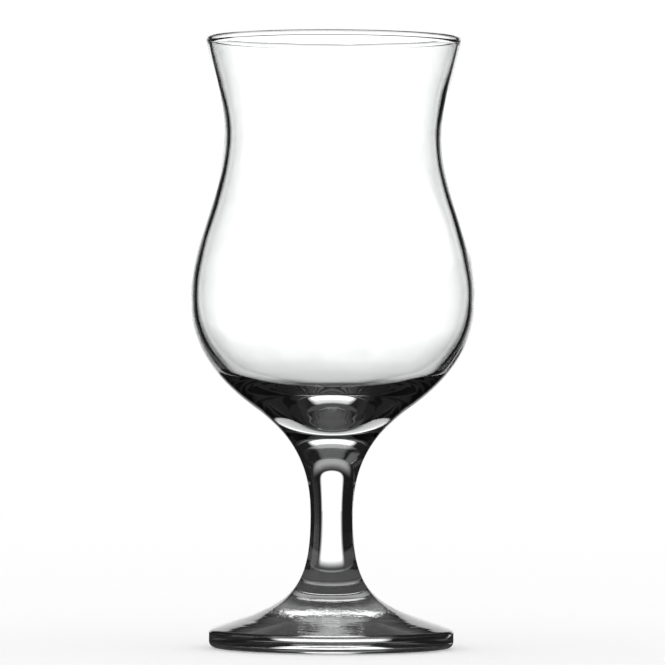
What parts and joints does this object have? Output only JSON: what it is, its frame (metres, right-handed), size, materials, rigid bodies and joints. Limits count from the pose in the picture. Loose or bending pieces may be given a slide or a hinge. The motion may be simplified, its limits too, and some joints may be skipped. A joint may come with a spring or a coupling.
{
  "type": "poco grande glass",
  "caption": "Clear footed cocktail glass with a flared, beaded rim, drawn-in waist, round bulging bowl, thick base, solid waisted stem and round pressed foot, for serving mixed drinks.",
  "frame": {"origin": "centre of the flat ring under the foot, on the table", "axes": "+Z is the glass's axis, up through the stem to the rim; the glass is the same all round, so +X and +Y are any two level directions"},
  "size_m": [0.0834, 0.0834, 0.178],
  "materials": {
    "blown_glass": "clear, blown and fire-polished",
    "stem_glass": "clear, polished",
    "pressed_glass": "clear, pressed and lightly rippled"
  },
  "bodies": {
    "root": {"bowl": "blown_glass", "stem": "stem_glass", "foot": "pressed_glass"}
  },
  "joints": []
}
